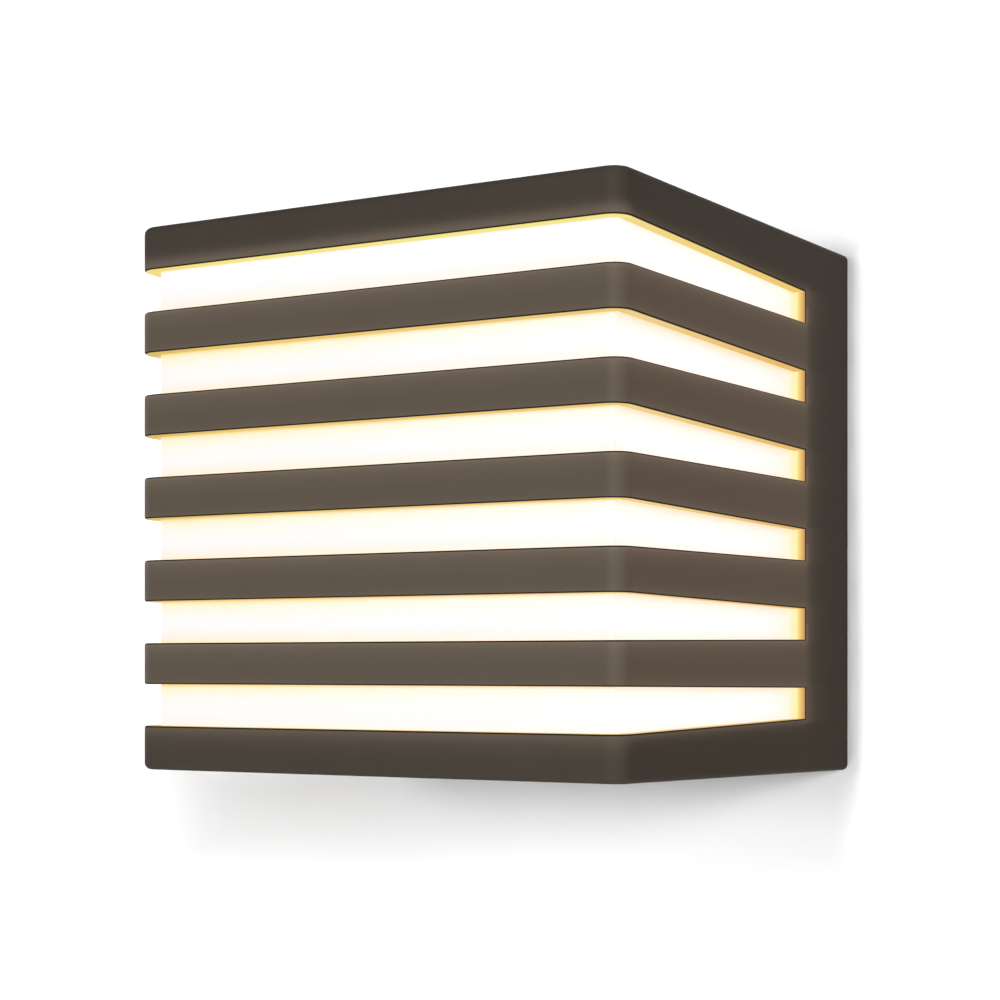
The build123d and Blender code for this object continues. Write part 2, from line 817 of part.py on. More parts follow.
def screw_washer(x):
    """Washer that stays on a cover screw, under its head."""
    disc = Cylinder(screw_washer_radius, screw_washer_thickness)
    hole = Cylinder(cover_screw_radius + thread_gap, screw_washer_thickness + overrun)
    return Pos(x, cover_screw_y, screw_seat_z + screw_washer_thickness / 2) * (disc - hole)


# Depths along the lamp, from its foot
insulator_y = lamp_foot_y - foot_contact_height
cap_y = insulator_y - cap_insulator_height
cap_top_y = cap_y - cap_thread_pitch * cap_thread_turns - cap_collar
globe_y = cap_top_y - lamp_housing_length
led_board_radius = lamp_housing_front_radius - lamp_housing_wall
led_back_y = globe_y + led_board_thickness
cap_root_radius = cap_radius - cap_thread_depth


def lamp_foot_contact():
    """Solder disc at the lamp's foot."""
    return post(0, 0, foot_contact_radius, lamp_foot_y, foot_contact_height)


def lamp_cap_insulator():
    """Black cone between the foot contact and the threaded cap."""
    return turned([
        (0, insulator_y),
        (foot_contact_radius, insulator_y),
        (cap_root_radius, cap_y),
        (0, cap_y),
    ])


def lamp_cap():
    """Threaded cap: rounded ridges along its thread, then a plain collar."""
    outline = []
    for turn in range(cap_thread_turns):
        start = cap_y - turn * cap_thread_pitch
        outline.append(ThreePointArc(
            (cap_root_radius, start),
            (cap_radius, start - cap_thread_pitch / 2),
            (cap_root_radius, start - cap_thread_pitch),
        ))
    thread_end = cap_y - cap_thread_turns * cap_thread_pitch
    outline.append(Polyline(
        (cap_root_radius, thread_end),
        (cap_radius, thread_end - cap_thread_depth),
        (cap_radius, cap_top_y),
        (cap_bore_radius, cap_top_y),
        (cap_bore_radius, cap_y),
        (cap_root_radius, cap_y),
    ))
    return revolve(make_face(outline), Axis.Y)


def lamp_housing():
    """White funnel that holds the driver, with a recess for the LED board at its front."""
    ledge = led_board_radius - lamp_housing_ledge
    recess = led_board_radius + seat_gap
    return turned([
        (cap_bore_radius, cap_top_y),
        (lamp_housing_back_radius, cap_top_y),
        (lamp_housing_front_radius, globe_y),
        (recess, globe_y),
        (recess, led_back_y),
        (ledge, led_back_y),
    ])


def globe_outline(offset):
    """Half outline of the globe from its neck to its tip, inside by offset."""
    neck = lamp_housing_front_radius - globe_lip - offset
    widest = globe_radius - offset
    tip_y = lamp_tip_y + offset
    middle_y = globe_y + (lamp_tip_y - globe_y) * globe_widest_share
    flank = Spline((neck, globe_y), (widest, middle_y), tangents=((1, -1), (0, -1)))
    dome = Spline((widest, middle_y), (0, tip_y), tangents=((0, -1), (-1, 0)))
    return flank, dome, Polyline((0, tip_y), (0, globe_y), (neck, globe_y))


def lamp_globe():
    """Opal globe, a thin hollow bulb that stands on the housing's rim."""
    bulb = revolve(make_face(globe_outline(0)), Axis.Y)
    return bulb - revolve(make_face(globe_outline(globe_wall)), Axis.Y)


def led_board():
    """Round board at the front of the housing."""
    return post(0, 0, led_board_radius, led_back_y, led_board_thickness)


def led_chips():
    """Ring of LED chips on the board."""
    chip = Box(led_chip_size, led_chip_height, led_chip_size)
    places = PolarLocations(led_circle_radius, led_chip_count)
    return [
        Pos(place.position.X, globe_y - led_chip_height / 2, place.position.Y) * chip for place in places
    ]


def driver_board():
    """Narrow board behind the LED board, inside the housing and the cap."""
    half_x = driver_width / 2
    half_z = driver_thickness / 2
    return block(-half_x, half_x, led_back_y, led_back_y + driver_length, -half_z, half_z)


def driver_capacitor():
    """Round capacitor that lies on the driver board."""
    z = driver_thickness / 2 + capacitor_radius + seat_gap
    return post(0, z, capacitor_radius, led_back_y + capacitor_setback + capacitor_length, capacitor_length)


left_x, right_x = cover_screw_xs
parts = {
    "wall_gasket": wall_gasket(),
    "back_plate": back_plate(),
    "rim_seal": rim_seal(),
    "cable_grommet": cable_grommet(),
    "terminal_block": terminal_block(),
    "terminal_inserts": terminal_inserts(),
    "terminal_screws": terminal_screws(),
    "terminal_block_screws": terminal_block_screws(),
    "live_lead": lamp_lead(live_x),
    "neutral_lead": lamp_lead(neutral_x),
    "earth_lead": earth_lead(),
    "earth_tag": earth_tag(),
    "earth_washer": earth_washer(),
    "earth_screw": earth_screw(),
    "lampholder_bracket": lampholder_bracket(),
    "bracket_screws": bracket_screws(),
    "lampholder_body": lampholder_body(),
    "lampholder_shell": lampholder_shell(),
    "lampholder_contact": lampholder_contact(),
    "lampholder_screws": lampholder_screws(),
    "slatted_cover": slatted_cover(),
    "opal_diffuser": opal_diffuser(),
    "diffuser_screws": diffuser_screws(),
    "left_cover_screw": cover_screw(left_x),
    "left_screw_washer": screw_washer(left_x),
    "right_cover_screw": cover_screw(right_x),
    "right_screw_washer": screw_washer(right_x),
    "lamp_foot_contact": lamp_foot_contact(),
    "lamp_cap_insulator": lamp_cap_insulator(),
    "lamp_cap": lamp_cap(),
    "lamp_housing": lamp_housing(),
    "lamp_globe": lamp_globe(),
    "led_board": led_board(),
    "led_chips": led_chips(),
    "driver_board": driver_board(),
    "driver_capacitor": driver_capacitor(),
}

os.makedirs("parts", exist_ok=True)
for name, piece in parts.items():
    if isinstance(piece, list):
        piece = Compound(children=piece)
    export_step(piece, f"parts/{name}.step")
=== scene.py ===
import json
import math

import bpy
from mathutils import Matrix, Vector


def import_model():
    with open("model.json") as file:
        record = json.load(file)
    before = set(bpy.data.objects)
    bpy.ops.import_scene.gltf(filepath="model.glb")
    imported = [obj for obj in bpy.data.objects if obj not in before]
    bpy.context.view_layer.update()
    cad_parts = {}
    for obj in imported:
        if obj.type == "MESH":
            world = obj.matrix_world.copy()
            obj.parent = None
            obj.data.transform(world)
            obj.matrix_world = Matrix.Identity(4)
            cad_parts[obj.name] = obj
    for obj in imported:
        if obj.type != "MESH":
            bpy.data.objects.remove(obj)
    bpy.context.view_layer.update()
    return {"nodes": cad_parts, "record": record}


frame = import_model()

# Wall light: a slatted bronze cover over a lit opal diffuser, on a pale wall
MM = 0.001
WHITE = (1.0, 1.0, 1.0, 1.0)

# Form of the cover in millimetres, as the frame has it
slot_pitch = 24.4
slot_half = 6.15
slot_narrowing = math.tan(math.radians(0.66))
slots_top = 3 * slot_pitch
outer_slot_z = 2.5 * slot_pitch
slot_end_y = -36.0
front_y = -158.0
front_half = 80.0
corner = 6.0
lean = math.tan(math.radians(1.12))
inner_face = (3.3, 3.9)
lip = 0.3

# Colours of the cover's coat, then its painted shade for the sides and for the lips of the slots
coat = (0.0566, 0.0474, 0.0377)
shaded_side_coat = (0.0545, 0.0437, 0.0336)
lip_shade = (0.012, 0.009, 0.007)

# Painted glow on the slats: millimetres over which it dies away and its strength, then its two colours
upper_edge_wide = (2.05, 0.058)
upper_edge_narrow = (0.3, 0.05)
upper_edge_outer_front = (2.6, 0.075)
upper_edge_outer_side = (1.2, 0.09)
lower_edge_front = (0.8, 0.025)
lower_edge_side = (1.5, 0.04)
lower_edge_outer_front = (2.6, 0.086)
lower_edge_outer_side = (1.3, 0.045)
slat_middle = (5.0, 0.051)
slot_end = (5.3, 0.078)
front_warmth = (1.0, 0.75, 0.56)
side_warmth = (1.0, 0.70, 0.50)

# Painted light on the walls of the slots: two colours that a wall runs between
front_wall = ((0.82, 0.57, 0.155), (0.66, 0.46, 0.105))
side_wall = ((0.82, 0.60, 0.23), (0.77, 0.46, 0.115))
top_front_wall = ((0.89, 0.78, 0.22), (0.89, 0.69, 0.18))
top_side_wall = ((0.86, 0.66, 0.22), (0.82, 0.56, 0.14))
wall_strength = 0.97

# Painted light on the end of a slot: its outer colour, then depths in millimetres where the next colours come
# in
end_wall_outside = (0.52, 0.23, 0.09)
end_wall_inwards = (
    ((0.2, 1.4), (0.78, 0.46, 0.13)),
    ((1.2, 2.4), (0.92, 0.68, 0.20)),
    ((2.4, 2.9), (1.0, 0.90, 0.48)),
)

# Colours of the diffuser's light; the cream ones are painted warm shade by the slats and the slots' ends
front_white = (0.65, 0.565, 0.625)
side_white = (0.74, 0.67, 0.70)
front_left_cream = (0.64, 0.40, 0.07)
front_right_cream = (0.65, 0.46, 0.32)
side_cream = (0.72, 0.54, 0.43)
end_cream = (0.76, 0.66, 0.47)

# Backdrop: painted light that whitens the wall all round the shadow; millimetres from the light's middle
# where its white begins and where it is whole
white_left = (100.0, 150.0)
white_left_over = (-100.0, -70.0)
white_far_left = (165.0, 225.0)
white_above = (82.0, 92.0)
white_below = (110.0, 150.0)
white_right_high = (83.5, 88.5)
white_right_low = (85.2, 89.2)
white_right_beneath = (77.5, 92.0)
high_to_low = (-60.0, 60.0)
low_to_beneath = (82.0, 90.0)
white_strength = 0.28
# Painted light that lifts the middle of the shadow: its middle, then the millimetres over which it falls and
# its strength
shadow_middle_x = -25.0
painted_shadow_lift = (60.0, 0.08)


class Graph:
    """The nodes of one material, with short calls for the maths on its sockets."""

    def __init__(self, name):
        self.material = bpy.data.materials.new(name)
        self.material.use_nodes = True
        self.tree = self.material.node_tree
        self.shader = self.tree.nodes["Principled BSDF"]
        self.place = None

    def put(self, value, socket):
        """Links a socket, or sets a plain value."""
        if isinstance(value, bpy.types.NodeSocket):
            self.tree.links.new(value, socket)
        else:
            socket.default_value = value

    def add(self, kind, inputs=None, **settings):
        """Makes a node with the settings and inputs given."""
        node = self.tree.nodes.new(kind)
        for key, value in settings.items():
            setattr(node, key, value)
        for key, value in (inputs or {}).items():
            self.put(value, node.inputs[key])
        return node

    def set(self, **sockets):
        """Sets or links sockets of the main shader, spaces written as underlines."""
        for key, value in sockets.items():
            self.put(value, self.shader.inputs[key.replace("_", " ")])

    def where(self):
        """Coordinates of the object itself, in metres."""
        if self.place is None:
            self.place = self.add("ShaderNodeTexCoord")
        return self.place.outputs["Object"]

    def facing(self):
        """The surface's own normal."""
        self.where()
        return self.place.outputs["Normal"]

    def split(self, vector):
        """X, Y and Z of a vector."""
        return self.add("ShaderNodeSeparateXYZ", {0: vector}).outputs[:3]

    def millimetres(self):
        """X, Y and Z of the object itself, in millimetres."""
        inputs = {0: self.where(), "Scale": 1 / MM}
        return self.split(self.add("ShaderNodeVectorMath", inputs, operation="SCALE").outputs[0])

    def maths(self, operation, *values, clamp=False):
        """One step of arithmetic."""
        inputs = dict(enumerate(values))
        return self.add("ShaderNodeMath", inputs, operation=operation, use_clamp=clamp).outputs[0]

    def chain(self, operation, *values):
        """The operation done on all the values, one after the other."""
        result = values[0]
        for value in values[1:]:
            result = self.maths(operation, result, value)
        return result

    def total(self, *values):
        """All the values added."""
        return self.chain("ADD", *values)

    def product(self, *values):
        """All the values multiplied."""
        return self.chain("MULTIPLY", *values)

    def most(self, *values):
        """The largest of the values."""
        return self.chain("MAXIMUM", *values)

    def least(self, *values):
        """The smallest of the values."""
        return self.chain("MINIMUM", *values)

    def less(self, first, second):
        """First minus second."""
        return self.maths("SUBTRACT", first, second)

    def minus(self, value):
        """The value with its sign turned."""
        return self.product(value, -1.0)

    def unsigned(self, value):
        """The value without its sign."""
        return self.maths("ABSOLUTE", value)

    def over(self, value, limit):
        """1 where the value is greater than the limit, else 0."""
        return self.maths("GREATER_THAN", value, limit)

    def short_of(self, value, limit):
        """1 where the value is less than the limit, else 0."""
        return self.maths("LESS_THAN", value, limit)

    def step(self, value, start, end):
        """Goes smoothly from 0 at start to 1 at end."""
        inputs = {"Value": value, "From Min": start, "From Max": end}
        return self.add("ShaderNodeMapRange", inputs, interpolation_type="SMOOTHSTEP").outputs["Result"]

    def without(self, mask):
        """0 where the mask is 1, and 1 where it is 0."""
        return self.less(1.0, mask)

    def choose(self, mask, first, second):
        """First where the mask is 0, second where it is 1."""
        return self.total(self.product(self.without(mask), first), self.product(mask, second))

    def rise_and_fall(self, value, rise, fall):
        """0, then 1 from the end of the rise to the start of the fall, then 0."""
        return self.product(self.step(value, *rise), self.without(self.step(value, *fall)))

    def fade(self, distance, length):
        """1 where the distance is zero or less, dying away over the length."""
        return self.maths("EXPONENT", self.maths("DIVIDE", self.most(distance, 0.0), -length))

    def blur(self, distance, length):
        """1 where the distance is zero or less, falling as a bell over the length."""
        scaled = self.maths("DIVIDE", self.most(distance, 0.0), length)
        return self.maths("EXPONENT", self.product(scaled, scaled, -1.0))

    def glow(self, distance, length, strength):
        """Light of the given strength that dies away over the length."""
        return self.product(self.fade(distance, length), strength)

    def soft_glow(self, distance, length, strength):
        """Light of the given strength that falls as a bell over the length."""
        return self.product(self.blur(distance, length), strength)

    def diagonal(self, first, second):
        """Length of the two sides' diagonal."""
        return self.maths("SQRT", self.total(self.product(first, first), self.product(second, second)))

    def mix(self, amount, first, second):
        """Colour between first and second."""
        node = self.add("ShaderNodeMix", data_type="RGBA")
        self.put(amount, node.inputs[0])
        for value, socket in ((first, node.inputs[6]), (second, node.inputs[7])):
            self.put(value if isinstance(value, bpy.types.NodeSocket) else (*value, 1.0), socket)
        return node.outputs[2]

    def noise(self, size, detail=2.0, stretch=(1.0, 1.0, 1.0)):
        """Noise whose blots measure about the given millimetres."""
        scale = tuple(1 / (size * MM * s) for s in stretch)
        mapped = self.add("ShaderNodeMapping", {"Vector": self.where(), "Scale": scale}).outputs[0]
        inputs = {"Vector": mapped, "Scale": 1.0, "Detail": detail}
        return self.add("ShaderNodeTexNoise", inputs).outputs[0]

    def between(self, value, low, high):
        """A noise value, most of it from a quarter to three quarters, spread over low to high."""
        inputs = {"Value": value, "From Min": 0.25, "From Max": 0.75, "To Min": low, "To Max": high}
        return self.add("ShaderNodeMapRange", inputs).outputs["Result"]

    def bump(self, height, depth):
        """Relief of the given depth in millimetres."""
        inputs = {"Height": height, "Distance": depth * MM}
        self.set(Normal=self.add("ShaderNodeBump", inputs).outputs[0])


def shade(colour, factor):
    """The colour made darker or lighter."""
    return tuple(min(c * factor, 1.0) for c in colour)


def surface(
    name,
    colour,
    roughness,
    metallic=0.0,
    spread=0.1,
    mottle=4.0,
    grain=0.4,
    depth=0.02,
    polish=0.1,
    stretch=(1.0, 1.0, 1.0),
    **sockets,
):
    """A finish with blotches of colour, uneven gloss and a fine grain."""
    g = Graph(name)
    blots = g.between(g.noise(mottle, 4.0, stretch), 0.0, 1.0)
    fine = g.noise(grain, 3.0, stretch)
    speck = g.product(g.between(fine, 0.0, 1.0), spread)
    tone = g.mix(blots, shade(colour, 1 - spread), shade(colour, 1 + spread))
    tone = g.mix(speck, tone, shade(colour, 0.6))
    g.set(Base_Color=tone, Metallic=metallic)
    g.set(Roughness=g.between(fine, roughness - polish, roughness + polish))
    g.bump(fine, depth)
    g.set(**sockets)
    return g


def slot_place(g, y, z):
    """Height over the nearest slot's middle, and that slot's half height there."""
    hair = 0.01
    held = g.least(g.most(z, -slots_top), slots_top - hair)
    share = g.maths("FRACT", g.maths("DIVIDE", held, slot_pitch))
    offset = g.product(g.less(share, 0.5), slot_pitch)
    half = g.less(slot_half, g.product(g.less(y, front_y), slot_narrowing))
    return offset, half


def depth_in_cover(g, x, y):
    """How far a point lies inside the cover's outer faces, round corners included."""
    half = g.total(g.product(g.less(y, front_y), lean), front_half)
    past_side = g.less(g.unsigned(x), g.less(half, corner))
    past_front = g.less(front_y + corner, y)
    round_part = g.diagonal(g.most(past_side, 0.0), g.most(past_front, 0.0))
    flat_part = g.least(g.most(past_side, past_front), 0.0)
    return g.less(g.less(corner, round_part), flat_part)


def cover_coat():
    """Matt bronze coat with painted shade and highlights, a painted warm glow round the lit slots and painted
    light on the walls of the slots.
    """
    g = Graph("cover_coat")
    x, y, z = g.millimetres()
    across, out, up = g.split(g.facing())
    sideways = g.unsigned(across)
    steep = g.unsigned(up)
    forward = g.minus(out)
    height = g.unsigned(z)
    offset, half = slot_place(g, y, z)
    from_edge = g.less(g.most(g.unsigned(offset), g.less(height, outer_slot_z)), half)
    behind = g.less(y, slot_end_y)
    deep = depth_in_cover(g, x, y)

    # Walls of the slots, which get painted light, and the rounded lips that lead into them, which get painted
    # shade
    lip_turn = (0.25, 0.55)
    among = g.short_of(height, slots_top - 1.0)
    at_end = g.product(g.over(y, slot_end_y - 20.0), g.short_of(from_edge, lip + 0.1))
    under = g.product(g.step(g.minus(up), 0.88, 0.97), among)
    upper = g.product(g.step(up, 0.95, 0.99), among)
    end = g.product(g.step(forward, 0.75, 0.95), at_end)
    inner = g.product(g.step(deep, *inner_face), among, g.short_of(behind, 6.0))
    wall = g.most(under, upper, end, inner)
    lips = g.most(g.product(g.step(steep, *lip_turn), among), g.product(g.step(forward, *lip_turn), at_end))
    painted_lip_shade = g.maths("SUBTRACT", lips, wall, clamp=True)

    # Coat, with a painted highlight on the upright corners, painted shade on the sides and along the lips
    cloud = g.between(g.noise(18.0, 4.0), 0.0, 1.0)
    peel = g.noise(0.9, 3.0)
    turned = g.rise_and_fall(sideways, (0.05, 0.45), (0.5, 0.95))
    tone = g.mix(cloud, shade(coat, 0.96), shade(coat, 1.04))
    # Painted highlight on the upright corners
    tone = g.mix(turned, tone, shade(coat, 1.14))
    # Painted shade: the sides take a darker copy of the coat
    tone = g.mix(g.step(sideways, 0.8, 0.98), tone, shaded_side_coat)
    tone = g.mix(g.product(g.between(peel, 0.0, 1.0), 0.1), tone, shade(coat, 0.7))
    # Painted shade along the rounded lips of the slots
    tone = g.mix(g.product(painted_lip_shade, 0.8), tone, lip_shade)
    g.set(Base_Color=tone, Metallic=0.0, Specular_IOR_Level=0.005)
    g.set(Roughness=g.between(peel, 0.52, 0.64))
    g.bump(peel, 0.012)

    # Painted warm glow that stands for light spilling round the slots, stronger on the upright corners
    outer_slat = g.over(height, outer_slot_z)
    at_lower_edge = g.over(offset, 0.0)
    near = g.less(from_edge, lip)
    aside = g.step(y, front_y + 2.0, front_y + 8.0)
    upper_inner = g.total(g.glow(near, *upper_edge_wide), g.glow(near, *upper_edge_narrow))
    upper_outer = g.choose(aside, g.glow(near, *upper_edge_outer_front), g.glow(near, *upper_edge_outer_side))
    upper_edge = g.choose(outer_slat, upper_inner, upper_outer)
    lower_inner = g.choose(aside, g.glow(near, *lower_edge_front), g.glow(near, *lower_edge_side))
    lower_front = g.soft_glow(near, *lower_edge_outer_front)
    lower_outer = g.choose(aside, lower_front, g.glow(near, *lower_edge_outer_side))
    lower_edge = g.choose(outer_slat, lower_inner, lower_outer)
    edge_glow = g.product(g.choose(at_lower_edge, upper_edge, lower_edge), g.fade(behind, 2.0))
    corner_gain = g.total(g.product(turned, 0.35), 1.0)
    middle_glow = g.product(g.glow(behind, *slat_middle), g.without(outer_slat), corner_gain)
    past_end = g.step(behind, -2.0, 0.5)
    end_glow = g.product(g.glow(behind, *slot_end), g.blur(from_edge, 1.6), past_end)
    spill = g.product(g.most(g.total(edge_glow, middle_glow), end_glow), g.without(lips))

    # Painted light on the walls of the slots
    top_slot = g.step(z, outer_slot_z, outer_slot_z + 3.0)
    along = g.step(y, front_y + 4.0, slot_end_y)
    past_front = g.step(y, front_y + 5.0, front_y + 9.0)
    leftmost = g.step(g.minus(x), 38.0, 82.0)
    flat_tone = g.mix(past_front, g.mix(leftmost, *front_wall), g.mix(along, *side_wall))
    top_tone = g.mix(past_front, g.mix(leftmost, *top_front_wall), g.mix(along, *top_side_wall))
    flat_tone = g.mix(top_slot, flat_tone, top_tone)
    end_tone = end_wall_outside
    for depths, colour in end_wall_inwards:
        end_tone = g.mix(g.step(deep, *depths), end_tone, colour)
    wall_tone = g.mix(end, flat_tone, end_tone)
    g.set(Emission_Color=g.mix(wall, g.mix(aside, front_warmth, side_warmth), wall_tone))
    g.set(Emission_Strength=g.total(spill, g.product(wall, wall_strength)))
    return g


def opal():
    """Opal acrylic lit from inside: white in the middle of each slot, with painted cream shade towards the
    slats.
    """
    g = Graph("opal")
    x, y, z = g.millimetres()
    offset, half = slot_place(g, y, z)
    sideways = g.unsigned(g.split(g.facing())[0])
    cloud = g.between(g.noise(9.0), -0.3, 0.3)
    fine = g.noise(0.5)
    g.set(Base_Color=g.mix(g.between(fine, 0.0, 1.0), (0.35, 0.34, 0.31), (0.38, 0.37, 0.34)))
    g.set(Roughness=g.between(fine, 0.3, 0.4))
    g.bump(fine, 0.01)

    # Painted cream shade under each slat but the top one, over each slat, and by the slots' ends
    in_top_slot = g.step(z, 48.0, 54.0)
    above_lowest_slot = g.step(z, -58.0, -50.0)
    under_slat = g.fade(g.total(g.less(half, offset), cloud), 2.6)
    under_slat = g.product(under_slat, g.without(in_top_slot))
    over_slat = g.fade(g.total(half, offset, cloud), 2.0)
    over_slat = g.product(over_slat, g.choose(above_lowest_slot, 0.22, 0.63))
    by_end = g.fade(g.total(g.less(slot_end_y, y), cloud), 4.0)

    # Painted glow colours, brighter on the sides than on the front, and painted shade on the upright corners
    aside = g.step(sideways, 0.5, 0.95)
    white = g.mix(aside, front_white, side_white)
    front_cream = g.mix(g.step(x, -70.0, 60.0), front_left_cream, front_right_cream)
    cream = g.mix(aside, front_cream, side_cream)
    light = g.mix(g.most(under_slat, over_slat), white, cream)
    g.set(Emission_Color=g.mix(by_end, light, end_cream))
    turned = g.rise_and_fall(sideways, (0.05, 0.4), (0.6, 0.95))
    g.set(Emission_Strength=g.without(g.product(turned, 0.1)))
    return g


def glowing(name, colour, light, strength):
    """Plastic or phosphor that is lit."""
    glow = {"Emission_Color": (*light, 1.0), "Emission_Strength": strength}
    return surface(name, colour, roughness=0.35, spread=0.04, depth=0.005, **glow)


def foam():
    """Closed-cell foam with its small cells."""
    g = Graph("foam")
    cell_size = 0.8 * MM
    inputs = {"Vector": g.where(), "Scale": 1 / cell_size}
    cells = g.add("ShaderNodeTexVoronoi", inputs).outputs["Distance"]
    g.set(Base_Color=g.mix(cells, (0.045, 0.045, 0.047), (0.018, 0.018, 0.019)))
    g.set(Roughness=g.between(cells, 0.8, 0.95))
    g.bump(cells, 0.15)
    return g


def striped_sleeve():
    """Green sleeve with yellow stripes."""
    g = Graph("earth_sleeve")
    inputs = {"Vector": g.where(), "Scale": 110.0, "Distortion": 0.3}
    wave = g.add("ShaderNodeTexWave", inputs, bands_direction="DIAGONAL").outputs["Fac"]
    fine = g.noise(0.4)
    g.set(Base_Color=g.mix(g.step(wave, 0.6, 0.7), (0.05, 0.28, 0.05), (0.75, 0.62, 0.04)))
    g.set(Roughness=g.between(fine, 0.4, 0.55))
    g.bump(fine, 0.01)
    return g


def circuit_board():
    """Green solder mask with paler tracks."""
    g = Graph("board_green")
    track_pitch = 4.0 * MM
    inputs = {"Vector": g.where(), "Scale": 1 / track_pitch}
    cells = g.add("ShaderNodeTexVoronoi", inputs, feature="DISTANCE_TO_EDGE", distance="MANHATTAN")
    track = g.without(g.step(cells.outputs["Distance"], 0.04, 0.08))
    g.set(Base_Color=g.mix(track, (0.03, 0.16, 0.06), (0.10, 0.34, 0.13)))
    g.set(Roughness=g.between(g.noise(0.5), 0.3, 0.42))
    g.bump(track, 0.03)
    return g


# Plain finishes: colour and roughness, then what makes each differ
lengthways = (1.0, 12.0, 1.0)
metal = {"metallic": 1.0, "depth": 0.01}
finishes = {
    "tray_metal": ((0.52, 0.52, 0.51), 0.45, {"metallic": 0.9, "mottle": 7.0, "grain": 0.6, "depth": 0.05}),
    "seal_rubber": ((0.05, 0.05, 0.052), 0.7, {"spread": 0.15, "mottle": 5.0}),
    "grommet_rubber": ((0.045, 0.045, 0.047), 0.6, {"spread": 0.15, "mottle": 2.0}),
    "terminal_plastic": ((0.80, 0.79, 0.74), 0.45, {"spread": 0.04, "Subsurface_Weight": 0.1}),
    "brass": ((0.72, 0.50, 0.20), 0.3, {**metal, "spread": 0.15, "mottle": 2.0, "grain": 0.15}),
    "zinc_steel": ((0.60, 0.61, 0.62), 0.3, {**metal, "spread": 0.12, "mottle": 5.0, "grain": 0.25}),
    "stainless": (
        (0.62, 0.61, 0.60), 0.28, {**metal, "spread": 0.08, "mottle": 2.0, "grain": 0.15, "depth": 0.008}
    ),
    "nylon": ((0.035, 0.035, 0.036), 0.5, {"spread": 0.15, "mottle": 1.5}),
    "live_sleeve": ((0.17, 0.075, 0.03), 0.45, {"stretch": lengthways}),
    "neutral_sleeve": ((0.04, 0.12, 0.45), 0.45, {"stretch": lengthways}),
    "tinned_copper": ((0.72, 0.68, 0.60), 0.35, {**metal, "spread": 0.12, "mottle": 2.0, "grain": 0.2}),
    "porcelain": (
        (0.86, 0.85, 0.81), 0.2,
        {
            "spread": 0.03, "mottle": 6.0, "grain": 2.5, "polish": 0.06,
            "Coat_Weight": 0.6, "Coat_Roughness": 0.08,
        },
    ),
    "phosphor_bronze": ((0.62, 0.38, 0.18), 0.3, {**metal, "spread": 0.12, "mottle": 3.0, "grain": 0.2}),
    "nickel": ((0.72, 0.70, 0.65), 0.25, {**metal, "spread": 0.08, "grain": 0.3, "depth": 0.006}),
    "black_glass": ((0.02, 0.02, 0.022), 0.12, {"spread": 0.2, "polish": 0.05, "depth": 0.01}),
    "solder": (
        (0.58, 0.58, 0.56), 0.45, {**metal, "spread": 0.15, "mottle": 1.5, "grain": 0.5, "depth": 0.06}
    ),
    "lamp_white": ((0.82, 0.82, 0.80), 0.35, {"spread": 0.03, "depth": 0.008}),
    "board_white": ((0.78, 0.78, 0.76), 0.4, {"spread": 0.04, "mottle": 3.0}),
    "capacitor_sleeve": ((0.03, 0.03, 0.05), 0.3, {"spread": 0.2, "mottle": 2.0}),
}
graphs = {
    "cover_coat": cover_coat(),
    "opal": opal(),
    "foam": foam(),
    "earth_sleeve": striped_sleeve(),
    "board_green": circuit_board(),
    "lamp_opal": glowing("lamp_opal", (0.50, 0.49, 0.46), light=(1.0, 0.84, 0.58), strength=0.5),
    "led_phosphor": glowing("led_phosphor", (0.90, 0.70, 0.20), light=(1.0, 0.82, 0.45), strength=1.5),
}
for name, (colour, roughness, details) in finishes.items():
    graphs[name] = surface(name, colour, roughness, **details)
for row in frame["record"]["subparts"]:
    for material_slot in frame["nodes"][row["node"]].material_slots:
        material_slot.material = graphs[row["material_slot"]].material


def backdrop_white(g):
    """Painted light on the backdrop: white all round the light's shadow, and a little in the shadow's middle.
    """
    x, _, z = g.millimetres()
    leftwards = g.minus(x)
    downwards = g.minus(z)
    left = g.product(g.step(leftwards, *white_left), g.step(z, *white_left_over))
    far_left = g.step(leftwards, *white_far_left)
    above = g.step(z, *white_above)
    below = g.step(downwards, *white_below)
    low = g.step(downwards, *high_to_low)
    beneath = g.step(downwards, *low_to_beneath)
    right_range = [
        g.choose(beneath, g.choose(low, at_high, at_low), at_beneath)
        for at_high, at_low, at_beneath in zip(white_right_high, white_right_low, white_right_beneath)
    ]
    right = g.step(x, *right_range)
    white = g.product(g.most(left, far_left, right, above, below), white_strength)
    from_middle = g.unsigned(g.less(x, shadow_middle_x))
    return g.total(white, g.soft_glow(from_middle, *painted_shadow_lift))


def stage_material():
    """Pale paint that takes the shadow, whitened by painted light away from it, and clear from behind and to
    the lamps.
    """
    g = Graph("stage_paint")
    path = g.add("ShaderNodeLightPath").outputs
    seen_from_behind = g.product(
        path["Is Camera Ray"], g.add("ShaderNodeNewGeometry").outputs["Backfacing"]
    )
    cloud = g.between(g.noise(40.0, 3.0), 0.0, 1.0)
    g.set(Base_Color=g.mix(cloud, (0.925, 0.925, 0.925), (0.935, 0.935, 0.935)))
    g.set(Roughness=0.9, Specular_IOR_Level=0.1)
    seen = g.most(path["Is Camera Ray"], path["Is Glossy Ray"], path["Is Transmission Ray"])
    g.set(Emission_Color=WHITE, Emission_Strength=g.product(seen, backdrop_white(g)))
    clear = g.add("ShaderNodeBsdfTransparent").outputs[0]
    through = g.most(seen_from_behind, path["Is Shadow Ray"])
    mixed = g.add("ShaderNodeMixShader", {0: through, 1: g.shader.outputs[0], 2: clear})
    g.put(mixed.outputs[0], g.tree.nodes["Material Output"].inputs["Surface"])
    return g.material


